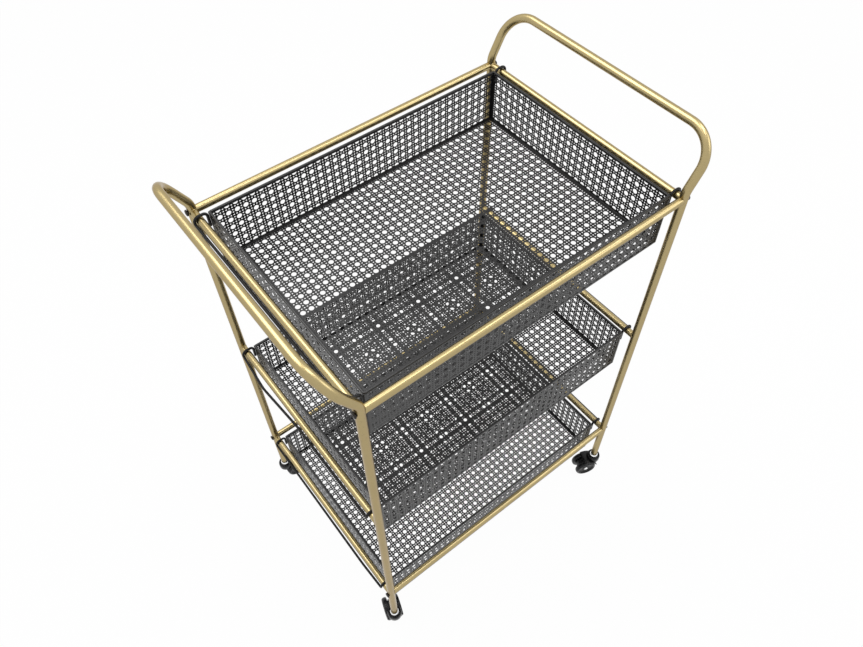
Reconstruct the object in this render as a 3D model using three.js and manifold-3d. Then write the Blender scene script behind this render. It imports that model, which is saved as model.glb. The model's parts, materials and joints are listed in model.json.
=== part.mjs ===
// Three-tier rolling cart: two bent-tube end frames, bolted long rails, three lift-off
// perforated trays hung on wire hangers, and four twin-wheel castors.
// Millimetres, +Z up, origin on the floor at the centre of the footprint, handles at -X and +X.

import * as THREE from 'three';
import { mergeVertices } from 'three/addons/utils/BufferGeometryUtils.js';
import Module from 'manifold-3d';

const wasm = await Module();
wasm.setup();

// Driving dimensions
const LEG_SPACING_X = 510;
const LEG_SPACING_Y = 381.5;
const LEG_RADIUS = 6.35;
const LEG_WALL = 1.2;
const LEG_END_Z = 58;
const RAIL_RADIUS = 5.55;
const RAIL_WALL = 1;
const TIER_Z = { top: 766, middle: 463, bottom: 160 };
const BOLTED_TIERS = ['top', 'bottom'];
const FIT_GAP = 0.3;

// Handle: the leg tube leans outwards above the top rail and turns into the bar
const HANDLE_Z = 845.5;
const HANDLE_REACH = 37.5;
const HANDLE_KINK_Z = 778;
const HANDLE_KINK_RADIUS = 26;
const HANDLE_CORNER_RADIUS = 45;

// Bolts through the legs into the threaded ends of the long rails
const BOLT_RADIUS = 2.5;
const BOLT_HEAD_RADIUS = 4.6;
const BOLT_HEAD_HEIGHT = 2.6;
const BOLT_DOME_SHARE = 0.75;
const BOLT_GRIP = 16;
const BOLT_HOLE_RADIUS = 2.9;
const RAIL_PLUG_LENGTH = 20;

// Trays of perforated sheet. The real sheet is punched at a fine pitch in a cane pattern;
// here its openwork is drawn coarser, with the same share of open area.
const TRAY_LENGTH = 484;
const TRAY_WIDTH = 350;
const TRAY_HEIGHT = 88;
const TRAY_RIM_ABOVE_RAIL = 7;
const TRAY_SLIDE_Y = { top: -5, middle: 0, bottom: 0 };
const SHEET = 1.2;
const RIM_WIDTH = 3.5;
const RIM_HEIGHT = 4.5;
const SHEET_MARGIN = 8;
const OPENWORK_PITCH = 73;
const OPENWORK_SHARE = 0.44;
const OPENWORK_SIDES = 6;

// Hanger wires: hook over the end rail near each corner and run along its outside. Two of them
// bow away from the rail; each bow is a place along Y with its distance from the rail's axis.
const WIRE_RADIUS = 2;
const WIRE_SIDES = 6;
const HOOK_Y = 172.5;
const HOOK_TAIL = 18;
const HOOK_INNER_RADIUS = 6;
const WIRE_RUN_DROP = 3;
const WIRE_RUN_RADIUS = 3;
const WIRE_BOWS = { left_middle: [[10, 8.2], [100, 14]], left_bottom: [[-120, 11.5]] };
const WIRE_BOW_RADIUS = 80;
const LIFT_CLEARANCE = 0.35;

// Castors, each with the swivel angle it stands at
const CASTOR_SWIVELS = { front_left: 72, front_right: 158, back_left: 0, back_right: -60 };
const CASTOR_TRAIL = 18;
const WHEEL_RADIUS = 21;
const WHEEL_WIDTH = 9.5;
const WHEEL_INNER_FACE = 6;
const WHEEL_BORE = 2.5;
const WHEEL_FACETS = 16;
const WHEEL_BEVEL = 2.5;
const WHEEL_RING = 3.5;
const WHEEL_DISH = 3;
const AXLE_RADIUS = 2.1;
const AXLE_BUTTON_RADIUS = 4;
const AXLE_BUTTON_HEIGHT = 1.6;
const SLEEVE_BORE = 3.4;
const SLEEVE_RADIUS = 4.6;
const SLEEVE_LENGTH = 32;
const FLANGE_RADIUS = 6.15;
const FLANGE_HEIGHT = 1.2;
const PIN_RADIUS = 3.1;
const PIN_LENGTH = 28;
const PIN_POINT = 2;
const COLLAR_RADIUS = 8;
const POST_RADIUS = 4;
const POST_LENGTH = 15;
const HOOD_RADIUS = 13;
const HOOD_TOP_Z = 52;
const HOOD_SKIRT_Z = 38;
const HOOD_SHOULDER = 2.2;
const FENDER_RADIUS = 24.2;
const FENDER_HALF_WIDTH = 15;
const FENDER_REACH = 5;
const FENDER_FRONT_DEGREES = 155;
const WHEEL_WELL_RADIUS = 22.2;
const WEB_CLEARANCE = 1;
const WEB_NOSE_X = -8;
const WEB_NOSE_Z = 24;
const WEB_TOP_Z = 44;
const WEB_BOSS_RADIUS = 8;
const WEB_BOSS_DEGREES = { from: -112, to: 58 };

// Finishes
const brass = { color: 0xc9b184, roughness: 0.3, metalness: 1 };
const blackCoat = { color: 0x2c2b2b, roughness: 0.6, metalness: 0.2 };
const blackPlastic = { color: 0x1b1b1c, roughness: 0.45, metalness: 0 };
const steel = { color: 0xd0d0ce, roughness: 0.3, metalness: 1 };

const TUBE_SEGMENTS = 5;
const SMALL_SEGMENTS = 8;
const CUTTER_SEGMENTS = 16;
const HOOD_SEGMENTS = 12;
const WELL_SEGMENTS = 20;
const FENDER_SEGMENTS = 4;
const BOSS_SEGMENTS = 6;
const TUBE_BEND_STEP = 18;
const WIRE_BEND_STEP = 30;

const cart = new THREE.Group();

function addPiece(name, geometry, finish, parent = cart) {
  const mesh = new THREE.Mesh(geometry, new THREE.MeshStandardMaterial(finish));
  mesh.name = name;
  parent.add(mesh);
  return mesh;
}

// Merges the shared vertices of a geometry and drops triangles that have no area.
function weld(geometry) {
  const bare = geometry.clone();
  bare.deleteAttribute('normal');
  bare.deleteAttribute('uv');
  const merged = mergeVertices(bare, 1e-4);
  const index = merged.index.array;
  const kept = [];
  for (let i = 0; i < index.length; i += 3) {
    const [a, b, c] = [index[i], index[i + 1], index[i + 2]];
    if (a !== b && b !== c && c !== a) {
      kept.push(a, b, c);
    }
  }
  merged.setIndex(kept);
  return merged;
}

function toSolid(geometry) {
  const merged = weld(geometry);
  return new wasm.Manifold(new wasm.Mesh({
    numProp: 3,
    vertProperties: new Float32Array(merged.attributes.position.array),
    triVerts: new Uint32Array(merged.index.array),
  }));
}

function fromSolid(solid) {
  const mesh = solid.getMesh();
  const geometry = new THREE.BufferGeometry();
  geometry.setAttribute('position', new THREE.BufferAttribute(mesh.vertProperties, 3));
  geometry.setIndex(new THREE.BufferAttribute(mesh.triVerts, 1));
  geometry.computeVertexNormals();
  return geometry;
}

// Revolves a closed profile of [radius, height] points about Z.
function revolve(profile, segments) {
  const points = profile.map(([radius, height]) => new THREE.Vector2(radius, height));
  if (THREE.ShapeUtils.area(points) < 0) {
    points.reverse();
  }
  points.push(points[0].clone());
  const lathe = new THREE.LatheGeometry(points, segments);
  lathe.rotateX(Math.PI / 2);
  return weld(lathe);
}

function cylinder(radius, length, segments) {
  const half = length / 2;
  return revolve([[0, -half], [radius, -half], [radius, half], [0, half]], segments);
}

function circleShape(radius, holeRadius = 0) {
  const shape = new THREE.Shape();
  shape.absarc(0, 0, radius, 0, 2 * Math.PI);
  if (holeRadius > 0) {
    shape.holes.push(new THREE.Path().absarc(0, 0, holeRadius, 0, 2 * Math.PI, true));
  }
  return shape;
}

// A path of rings placed only where the tube starts, bends and ends.
class BendPath extends THREE.Curve {
  constructor(rings) {
    super();
    this.rings = rings;
  }

  ringAt(u) {
    return this.rings[Math.round(u * (this.rings.length - 1))];
  }

  getPointAt(u) {
    return this.ringAt(u).point.clone();
  }

  getTangentAt(u) {
    return this.ringAt(u).tangent.clone();
  }
}

// Rounds each inner corner of a line of points with an arc of its own radius.
function bendPath(corners, radii, stepDegrees) {
  const heading = (from, to) => to.clone().sub(from).normalize();
  const rings = [{ point: corners[0], tangent: heading(corners[0], corners[1]) }];
  radii.forEach((radius, i) => {
    const corner = corners[i + 1];
    const inward = heading(corners[i], corner);
    const outward = heading(corner, corners[i + 2]);
    const turn = inward.angleTo(outward);
    const start = corner.clone().addScaledVector(inward, -radius * Math.tan(turn / 2));
    const side = outward.clone().addScaledVector(inward, -outward.dot(inward)).normalize();
    const steps = Math.max(2, Math.round(THREE.MathUtils.radToDeg(turn) / stepDegrees));
    for (let step = 0; step <= steps; step += 1) {
      const angle = turn * step / steps;
      const point = start.clone();
      point.addScaledVector(inward, radius * Math.sin(angle));
      point.addScaledVector(side, radius * (1 - Math.cos(angle)));
      const tangent = inward.clone().multiplyScalar(Math.cos(angle));
      tangent.addScaledVector(side, Math.sin(angle));
      rings.push({ point, tangent });
    }
  });
  const last = corners.length - 1;
  rings.push({ point: corners[last], tangent: heading(corners[last - 1], corners[last]) });
  return new BendPath(rings);
}

function sweep(section, path, segments) {
  return new THREE.ExtrudeGeometry(section, {
    steps: path.rings.length - 1,
    extrudePath: path,
    curveSegments: segments,
  });
}

const LEG_X = LEG_SPACING_X / 2;
const LEG_Y = LEG_SPACING_Y / 2;
const END_SIDES = { left: -1, right: 1 };

// Cutters at a leg: one copes a rail's end round it, one clears the end rail beside it, and
// one drills the leg for a bolt
function legCutter(x, y, z) {
  const cutter = cylinder(LEG_RADIUS + FIT_GAP, 6 * RAIL_RADIUS, CUTTER_SEGMENTS);
  return toSolid(cutter.translate(x, y, z));
}

function endRailCutter(x, y, z) {
  const cutter = cylinder(RAIL_RADIUS + FIT_GAP, 6 * RAIL_RADIUS, CUTTER_SEGMENTS);
  return toSolid(cutter.rotateX(Math.PI / 2).translate(x, y, z));
}

function boltDrill(x, y, z) {
  const drill = cylinder(BOLT_HOLE_RADIUS, 4 * LEG_RADIUS, SMALL_SEGMENTS);
  return toSolid(drill.rotateY(Math.PI / 2).translate(x, y, z));
}

// End frame: one tube from foot to foot, with the handle bar at its top
function makeEndFrame(side) {
  const x = side * LEG_X;
  const barX = side * (LEG_X + HANDLE_REACH);
  const corners = [
    new THREE.Vector3(x, -LEG_Y, LEG_END_Z),
    new THREE.Vector3(x, -LEG_Y, HANDLE_KINK_Z),
    new THREE.Vector3(barX, -LEG_Y, HANDLE_Z),
    new THREE.Vector3(barX, LEG_Y, HANDLE_Z),
    new THREE.Vector3(x, LEG_Y, HANDLE_KINK_Z),
    new THREE.Vector3(x, LEG_Y, LEG_END_Z),
  ];
  const radii = [HANDLE_KINK_RADIUS, HANDLE_CORNER_RADIUS, HANDLE_CORNER_RADIUS, HANDLE_KINK_RADIUS];
  const section = circleShape(LEG_RADIUS, LEG_RADIUS - LEG_WALL);
  const path = bendPath(corners, radii, TUBE_BEND_STEP);
  let tube = toSolid(sweep(section, path, TUBE_SEGMENTS));
  for (const tier of BOLTED_TIERS) {
    for (const y of [-LEG_Y, LEG_Y]) {
      tube = tube.subtract(boltDrill(x, y, TIER_Z[tier]));
    }
  }
  return fromSolid(tube);
}

// Short rail welded between the two legs of an end frame
function makeEndRail(side, z) {
  const x = side * LEG_X;
  const tube = new THREE.ExtrudeGeometry(circleShape(RAIL_RADIUS, RAIL_RADIUS - RAIL_WALL), {
    depth: LEG_SPACING_Y,
    bevelEnabled: false,
    curveSegments: TUBE_SEGMENTS,
  });
  tube.rotateX(-Math.PI / 2).translate(x, -LEG_Y, z);
  let rail = toSolid(tube);
  for (const y of [-LEG_Y, LEG_Y]) {
    rail = rail.subtract(legCutter(x, y, z));
  }
  return fromSolid(rail);
}

// Long rail with a threaded plug in each end for its bolt
function makeLongRail(y, z) {
  const end = LEG_X;
  const plug = LEG_X - LEG_RADIUS - RAIL_PLUG_LENGTH;
  const bore = RAIL_RADIUS - RAIL_WALL;
  const profile = [
    [BOLT_HOLE_RADIUS, -end], [RAIL_RADIUS, -end], [RAIL_RADIUS, end], [BOLT_HOLE_RADIUS, end],
    [BOLT_HOLE_RADIUS, plug], [bore, plug], [bore, -plug], [BOLT_HOLE_RADIUS, -plug],
  ];
  const tube = revolve(profile, 2 * TUBE_SEGMENTS).rotateY(Math.PI / 2).translate(0, y, z);
  let rail = toSolid(tube);
  for (const x of [-LEG_X, LEG_X]) {
    rail = rail.subtract(legCutter(x, y, z)).subtract(endRailCutter(x, y, z));
  }
  return fromSolid(rail);
}

// Round-headed bolt, made along +Z with the underside of its head at z = 0
function makeBolt() {
  const shank = 2 * LEG_RADIUS + BOLT_GRIP;
  return revolve([
    [0, -shank], [BOLT_RADIUS, -shank], [BOLT_RADIUS, 0], [BOLT_HEAD_RADIUS, 0],
    [BOLT_HEAD_RADIUS * BOLT_DOME_SHARE, BOLT_HEAD_HEIGHT * BOLT_DOME_SHARE], [0, BOLT_HEAD_HEIGHT],
  ], SMALL_SEGMENTS);
}

// Flat panel of the openwork sheet: holes on an even lattice inside a plain margin
function openworkPanel(width, height, lowMargin, highMargin) {
  const shape = new THREE.Shape();
  shape.moveTo(-width / 2, 0);
  shape.lineTo(width / 2, 0);
  shape.lineTo(width / 2, height);
  shape.lineTo(-width / 2, height);
  const fieldWidth = width - 2 * SHEET_MARGIN;
  const fieldHeight = height - lowMargin - highMargin;
  const columns = Math.round(fieldWidth / OPENWORK_PITCH);
  const rows = Math.round(fieldHeight / OPENWORK_PITCH);
  const cell = { x: fieldWidth / columns, y: fieldHeight / rows };
  const area = OPENWORK_SHARE * cell.x * cell.y;
  const radius = Math.sqrt(2 * area / (OPENWORK_SIDES * Math.sin(2 * Math.PI / OPENWORK_SIDES)));
  const stretch = Math.sqrt(cell.y / cell.x);
  for (let column = 0; column < columns; column += 1) {
    for (let row = 0; row < rows; row += 1) {
      const centreX = -fieldWidth / 2 + (column + 0.5) * cell.x;
      const centreY = lowMargin + (row + 0.5) * cell.y;
      const hole = new THREE.Path();
      for (let corner = 0; corner < OPENWORK_SIDES; corner += 1) {
        const angle = -2 * Math.PI * corner / OPENWORK_SIDES;
        const x = centreX + radius * Math.cos(angle) / stretch;
        const y = centreY + radius * Math.sin(angle) * stretch;
        if (corner === 0) {
          hole.moveTo(x, y);
        } else {
          hole.lineTo(x, y);
        }
      }
      hole.closePath();
      shape.holes.push(hole);
    }
  }
  return new THREE.ExtrudeGeometry(shape, { depth: SHEET, bevelEnabled: false });
}

// Tray: floor and four upright walls folded from one sheet, with a hemmed rim
function makeTray(floorZ) {
  const halfLength = TRAY_LENGTH / 2;
  const halfWidth = TRAY_WIDTH / 2;
  const floor = openworkPanel(TRAY_LENGTH, TRAY_WIDTH, SHEET_MARGIN, SHEET_MARGIN);
  floor.translate(0, -halfWidth, 0);
  const wallTop = RIM_HEIGHT + SHEET_MARGIN / 2;
  const longWall = openworkPanel(TRAY_LENGTH, TRAY_HEIGHT, SHEET_MARGIN, wallTop);
  longWall.rotateX(Math.PI / 2);
  const endWall = openworkPanel(TRAY_WIDTH, TRAY_HEIGHT, SHEET_MARGIN, wallTop);
  endWall.rotateX(Math.PI / 2).rotateZ(Math.PI / 2);
  const rim = new THREE.Shape();
  rim.moveTo(-halfLength, -halfWidth);
  rim.lineTo(halfLength, -halfWidth);
  rim.lineTo(halfLength, halfWidth);
  rim.lineTo(-halfLength, halfWidth);
  const mouth = new THREE.Path();
  mouth.moveTo(-halfLength + RIM_WIDTH, -halfWidth + RIM_WIDTH);
  mouth.lineTo(-halfLength + RIM_WIDTH, halfWidth - RIM_WIDTH);
  mouth.lineTo(halfLength - RIM_WIDTH, halfWidth - RIM_WIDTH);
  mouth.lineTo(halfLength - RIM_WIDTH, -halfWidth + RIM_WIDTH);
  rim.holes.push(mouth);
  const hem = new THREE.ExtrudeGeometry(rim, { depth: RIM_HEIGHT, bevelEnabled: false });
  hem.translate(0, 0, TRAY_HEIGHT - RIM_HEIGHT);
  const panels = [
    longWall.clone().translate(0, -halfWidth + SHEET, 0),
    longWall.clone().translate(0, halfWidth, 0),
    endWall.clone().translate(halfLength - SHEET, 0, 0),
    endWall.clone().translate(-halfLength, 0, 0),
    hem,
  ];
  const tray = panels.reduce((whole, panel) => whole.add(toSolid(panel)), toSolid(floor));
  return fromSolid(tray).translate(0, 0, floorZ);
}

// Hanger: one wire that comes up the end wall, over the rail, along its outside and back
function makeHanger(side, railZ, bows) {
  const over = RAIL_RADIUS + WIRE_RADIUS + LIFT_CLEARANCE;
  const wallX = side * (TRAY_LENGTH / 2 + WIRE_RADIUS + FIT_GAP);
  const outerX = side * (LEG_X + over);
  const topZ = railZ + over;
  const runZ = railZ - WIRE_RUN_DROP;
  const tailZ = railZ + TRAY_RIM_ABOVE_RAIL - RIM_HEIGHT - HOOK_TAIL;
  const corners = [
    new THREE.Vector3(wallX, -HOOK_Y, tailZ),
    new THREE.Vector3(wallX, -HOOK_Y, topZ),
    new THREE.Vector3(outerX, -HOOK_Y, topZ),
    new THREE.Vector3(outerX, -HOOK_Y, runZ),
    ...bows.map(([y, out]) => new THREE.Vector3(side * (LEG_X + out), y, runZ)),
    new THREE.Vector3(outerX, HOOK_Y, runZ),
    new THREE.Vector3(outerX, HOOK_Y, topZ),
    new THREE.Vector3(wallX, HOOK_Y, topZ),
    new THREE.Vector3(wallX, HOOK_Y, tailZ),
  ];
  const hook = [HOOK_INNER_RADIUS, over, WIRE_RUN_RADIUS];
  const radii = [...hook, ...bows.map(() => WIRE_BOW_RADIUS), ...hook.toReversed()];
  const path = bendPath(corners, radii, WIRE_BEND_STEP);
  return sweep(circleShape(WIRE_RADIUS), path, WIRE_SIDES / 2);
}

// Nylon sleeve inside the leg, with a flange under the tube's end
function makeCastorSocket() {
  const high = LEG_END_Z - FIT_GAP;
  const low = high - FLANGE_HEIGHT;
  const top = LEG_END_Z + SLEEVE_LENGTH;
  return revolve([
    [SLEEVE_BORE, low], [FLANGE_RADIUS, low], [FLANGE_RADIUS, high],
    [SLEEVE_RADIUS, high], [SLEEVE_RADIUS, top], [SLEEVE_BORE, top],
  ], SMALL_SEGMENTS);
}

// Steel stem: pin up into the sleeve, bright collar below it, swivel post down into the hood
function makeCastorStem() {
  const foot = HOOD_TOP_Z - POST_LENGTH;
  const low = HOOD_TOP_Z + FIT_GAP;
  const high = LEG_END_Z - FLANGE_HEIGHT - 2 * FIT_GAP;
  const tip = LEG_END_Z + PIN_LENGTH;
  return revolve([
    [0, foot], [POST_RADIUS, foot], [POST_RADIUS, low], [COLLAR_RADIUS, low],
    [COLLAR_RADIUS, high], [PIN_RADIUS, high], [PIN_RADIUS, tip], [0, tip + PIN_POINT],
  ], HOOD_SEGMENTS);
}

// Hood: round cap over the stem, web down to the axle and a fender over the wheels.
// Made with the stem on Z and the axle trailing along +X.
function makeCastorHood() {
  const cap = revolve([
    [0, HOOD_SKIRT_Z], [HOOD_RADIUS, HOOD_SKIRT_Z], [HOOD_RADIUS, HOOD_TOP_Z - 2 * HOOD_SHOULDER],
    [HOOD_RADIUS - HOOD_SHOULDER, HOOD_TOP_Z], [0, HOOD_TOP_Z],
  ], HOOD_SEGMENTS);
  const rearAngle = Math.acos(FENDER_REACH / FENDER_RADIUS);
  const frontAngle = THREE.MathUtils.degToRad(FENDER_FRONT_DEGREES);
  const fenderShape = new THREE.Shape();
  fenderShape.moveTo(CASTOR_TRAIL, WHEEL_RADIUS);
  fenderShape.absarc(CASTOR_TRAIL, WHEEL_RADIUS, FENDER_RADIUS, rearAngle, frontAngle);
  const fender = new THREE.ExtrudeGeometry(fenderShape, {
    depth: 2 * FENDER_HALF_WIDTH,
    bevelEnabled: false,
    curveSegments: FENDER_SEGMENTS,
  });
  fender.rotateX(Math.PI / 2).translate(0, FENDER_HALF_WIDTH, 0);
  const webHalf = WHEEL_INNER_FACE - WEB_CLEARANCE;
  const bossFrom = THREE.MathUtils.degToRad(WEB_BOSS_DEGREES.from);
  const bossTo = THREE.MathUtils.degToRad(WEB_BOSS_DEGREES.to);
  const webShape = new THREE.Shape();
  webShape.moveTo(WEB_NOSE_X, WEB_TOP_Z);
  webShape.lineTo(WEB_NOSE_X, WEB_NOSE_Z);
  webShape.absarc(CASTOR_TRAIL, WHEEL_RADIUS, WEB_BOSS_RADIUS, bossFrom, bossTo);
  webShape.lineTo(CASTOR_TRAIL, WEB_TOP_Z);
  const web = new THREE.ExtrudeGeometry(webShape, {
    depth: 2 * webHalf,
    bevelEnabled: false,
    curveSegments: BOSS_SEGMENTS,
  });
  web.rotateX(Math.PI / 2).translate(0, webHalf, 0);
  let hood = toSolid(cap).add(toSolid(fender)).add(toSolid(web));
  const wellDepth = 2 * FENDER_HALF_WIDTH;
  for (const side of [-1, 1]) {
    const well = cylinder(WHEEL_WELL_RADIUS, wellDepth, WELL_SEGMENTS).rotateX(Math.PI / 2);
    well.translate(CASTOR_TRAIL, side * (webHalf + wellDepth / 2), WHEEL_RADIUS);
    hood = hood.subtract(toSolid(well));
  }
  const axleHole = cylinder(AXLE_RADIUS + FIT_GAP, 4 * webHalf, SMALL_SEGMENTS);
  axleHole.rotateX(Math.PI / 2).translate(CASTOR_TRAIL, 0, WHEEL_RADIUS);
  const postHole = cylinder(POST_RADIUS + FIT_GAP, 2 * (POST_LENGTH + 2 * FIT_GAP), HOOD_SEGMENTS);
  postHole.translate(0, 0, HOOD_TOP_Z);
  return fromSolid(hood.subtract(toSolid(axleHole)).subtract(toSolid(postHole)));
}

// Axle with a button at each end that keeps the wheels on
function makeCastorAxle() {
  const outer = WHEEL_INNER_FACE + WHEEL_WIDTH - WHEEL_DISH + 2 * FIT_GAP;
  const end = outer + AXLE_BUTTON_HEIGHT;
  return revolve([
    [0, -end], [AXLE_BUTTON_RADIUS, -end], [AXLE_BUTTON_RADIUS, -outer], [AXLE_RADIUS, -outer],
    [AXLE_RADIUS, outer], [AXLE_BUTTON_RADIUS, outer], [AXLE_BUTTON_RADIUS, end], [0, end],
  ], SMALL_SEGMENTS).rotateX(Math.PI / 2);
}

// Wheel with a bevelled shoulder and a dished outer face, made about Z with its inner face at
// z = 0. Its facets lie outside the round tread, and it stands on one of them.
function makeWheel() {
  const tread = WHEEL_RADIUS / Math.cos(Math.PI / WHEEL_FACETS);
  const ring = tread - WHEEL_BEVEL - WHEEL_RING;
  const dishZ = WHEEL_WIDTH - WHEEL_DISH;
  const wheel = revolve([
    [WHEEL_BORE, 0], [tread, 0], [tread, WHEEL_WIDTH - WHEEL_BEVEL],
    [tread - WHEEL_BEVEL, WHEEL_WIDTH], [ring, WHEEL_WIDTH],
    [ring - WHEEL_DISH, dishZ], [WHEEL_BORE, dishZ],
  ], WHEEL_FACETS);
  return wheel.rotateZ(Math.PI / WHEEL_FACETS);
}

function addCastor(name, x, y, swivelDegrees) {
  addPiece(`castor_socket_${name}`, makeCastorSocket().translate(x, y, 0), blackPlastic);
  addPiece(`castor_stem_${name}`, makeCastorStem().translate(x, y, 0), steel);
  const swivel = new THREE.Group();
  swivel.position.set(x, y, 0);
  swivel.rotation.z = THREE.MathUtils.degToRad(swivelDegrees);
  cart.add(swivel);
  addPiece(`castor_hood_${name}`, makeCastorHood(), blackPlastic, swivel);
  const axle = addPiece(`castor_axle_${name}`, makeCastorAxle(), steel, swivel);
  axle.position.set(CASTOR_TRAIL, 0, WHEEL_RADIUS);
  for (const [letter, side] of [['a', 1], ['b', -1]]) {
    const wheel = addPiece(`wheel_${name}_${letter}`, makeWheel(), blackPlastic, swivel);
    wheel.position.set(CASTOR_TRAIL, side * WHEEL_INNER_FACE, WHEEL_RADIUS);
    wheel.rotation.x = -side * Math.PI / 2;
  }
}

for (const [end, side] of Object.entries(END_SIDES)) {
  addPiece(`end_frame_${end}`, makeEndFrame(side), brass);
  for (const [tier, z] of Object.entries(TIER_Z)) {
    addPiece(`end_rail_${end}_${tier}`, makeEndRail(side, z), brass);
  }
}

for (const tier of BOLTED_TIERS) {
  for (const [face, y] of [['front', -LEG_Y], ['back', LEG_Y]]) {
    addPiece(`long_rail_${face}_${tier}`, makeLongRail(y, TIER_Z[tier]), brass);
    for (const [end, side] of Object.entries(END_SIDES)) {
      const bolt = addPiece(`bolt_${face}_${end}_${tier}`, makeBolt(), blackCoat);
      bolt.position.set(side * (LEG_X + LEG_RADIUS + FIT_GAP), y, TIER_Z[tier]);
      bolt.rotation.y = side * Math.PI / 2;
    }
  }
}

for (const [tier, z] of Object.entries(TIER_Z)) {
  const slide = TRAY_SLIDE_Y[tier];
  const tray = makeTray(z + TRAY_RIM_ABOVE_RAIL - TRAY_HEIGHT);
  addPiece(`tray_${tier}`, tray.translate(0, slide, 0), blackCoat);
  for (const [end, side] of Object.entries(END_SIDES)) {
    const hanger = makeHanger(side, z, WIRE_BOWS[`${end}_${tier}`] ?? []);
    addPiece(`hanger_${end}_${tier}`, hanger.translate(0, slide, 0), blackCoat);
  }
}

for (const [corner, swivelDegrees] of Object.entries(CASTOR_SWIVELS)) {
  const x = corner.endsWith('left') ? -LEG_X : LEG_X;
  const y = corner.startsWith('front') ? -LEG_Y : LEG_Y;
  addCastor(corner, x, y, swivelDegrees);
}

export default cart;
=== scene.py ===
"""Rolling three-tier cart: satin brass tubes, trays of black cane-pattern sheet, twin-wheel castors.

Every piece is a surface worked out as whole arrays, in metres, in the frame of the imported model.
"""

import json
import math

import bpy
import numpy as np
from mathutils import Matrix, Vector
from mathutils.geometry import delaunay_2d_cdt


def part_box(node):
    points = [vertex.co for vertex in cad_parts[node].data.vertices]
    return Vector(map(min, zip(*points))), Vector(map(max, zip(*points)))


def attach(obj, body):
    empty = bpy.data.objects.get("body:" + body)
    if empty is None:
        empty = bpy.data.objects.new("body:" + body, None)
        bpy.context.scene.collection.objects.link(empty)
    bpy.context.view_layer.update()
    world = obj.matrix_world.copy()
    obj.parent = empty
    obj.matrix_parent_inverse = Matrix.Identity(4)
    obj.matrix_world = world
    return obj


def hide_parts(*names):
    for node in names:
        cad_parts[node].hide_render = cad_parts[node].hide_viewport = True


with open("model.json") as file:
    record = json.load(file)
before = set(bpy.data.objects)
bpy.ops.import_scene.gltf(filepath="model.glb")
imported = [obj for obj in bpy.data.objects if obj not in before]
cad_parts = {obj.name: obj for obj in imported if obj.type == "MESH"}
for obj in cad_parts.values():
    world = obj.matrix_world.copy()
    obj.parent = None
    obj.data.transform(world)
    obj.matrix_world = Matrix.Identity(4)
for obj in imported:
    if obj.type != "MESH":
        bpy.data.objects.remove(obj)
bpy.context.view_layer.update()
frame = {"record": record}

MM = 0.001
TURN = 2 * math.pi

# Points closer than this are one point, and edges that turn by more than this are sharp
LEAST_STEP = 0.01 * MM
SHARP_ANGLE = math.radians(38)
# A rounded corner takes up to this share of each side that meets at it
ROUNDED_SHARE = 0.45

# Frame tubes
LEG_RADIUS = 6.35 * MM
LEG_WALL = 1.2 * MM
FOOT_EDGE = 0.4 * MM
FOOT_BORE_DEPTH = 12 * MM
RAIL_RADIUS = 5.55 * MM
RAIL_RINGS = 9
HANDLE_HEIGHT = 845.5 * MM
HANDLE_REACH = 37.5 * MM
HANDLE_KINK_HEIGHT = 778 * MM
HANDLE_KINK_RADIUS = 26 * MM
HANDLE_CORNER_RADIUS = 45 * MM
BOLTED_GAP = 0.3 * MM
WELD_SINK = 0.3 * MM
WELD_RADIUS = 0.75 * MM
WELD_SIDES = 10
TUBE_SIDES = 40
TUBE_BEND_STEP = math.radians(3)

# Bolts
BOLT_HEAD_RADIUS = 4.6 * MM
BOLT_HEAD_HEIGHT = 2.6 * MM
BOLT_SEAT_RADIUS = BOLT_HEAD_RADIUS * 0.94
BOLT_SHANK_RADIUS = 0.6 * BOLT_HEAD_RADIUS
BOLT_SHANK_LENGTH = 1.2 * MM
BOLT_DOME_RINGS = 7
BOLT_DOME_NARROWING = 0.42
BOLT_DOME_POWER = 2.2
BOLT_RIM_SHARE = 0.25
BOLT_LIP = 0.35 * MM
BOLT_SOCKET_ACROSS = 3 * MM
BOLT_SOCKET_DEPTH = 1.5 * MM
BOLT_SOCKET_CHAMFER = 0.05 * MM
BOLT_SOCKET_FLOOR_SHARE = 0.3

# Trays
CANE_PITCH = 12.85 * MM
LARGE_HOLE_SHARE = 0.6
SMALL_HOLE_SHARE = 0.19
LARGE_HOLE_SIDES = 10
SMALL_HOLE_SIDES = 6
SHEET = 0.5 * MM
STRIP = 0.9 * MM
STRIP_WIDTH = 3.8 * MM
CORNER_STRIP_WIDTH = 4.6 * MM
SHEET_EDGE = 1.2 * MM
FOLD_RADIUS = 1.4 * MM
RIM_WIDTH = 3.5 * MM
RIM_HEIGHT = 4.5 * MM
RIM_ROUND = 1.1 * MM
TRAY_CORNER_RADIUS = 4 * MM
LEAST_CORNER = 0.2 * MM
FLOOR_PHASE = (1.9 * MM, 2.1 * MM)
LONG_WALL_PHASE = (1.9 * MM, 3.5 * MM)
END_WALL_PHASE = (11.8 * MM, 3.5 * MM)
CUT_TOLERANCE = 1e-7
WINDOW_DIGITS = 6

# Hanger wires
WIRE_RADIUS = 2 * MM
WIRE_OVER_RAIL = 7.9 * MM
WIRE_RUN_DROP = 3 * MM
WIRE_TAIL_DROP = 15.5 * MM
WIRE_HOOK_Y = 172.5 * MM
WIRE_INNER_BEND = 6 * MM
WIRE_OUTER_BEND = 7.9 * MM
WIRE_RUN_BEND = 3 * MM
WIRE_BOW_BEND = 80 * MM
WIRE_BOWS = {
    ("left", "middle"): [(10 * MM, 8.2 * MM), (100 * MM, 14 * MM)],
    ("left", "bottom"): [(-120 * MM, 9.4 * MM)],
}
WIRE_WALL_GAP = 0.3 * MM
WIRE_TIP = 0.6 * MM
WIRE_TIP_SHARE = 0.62
WIRE_SIDES = 20
WIRE_BEND_STEP = math.radians(9)

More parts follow.
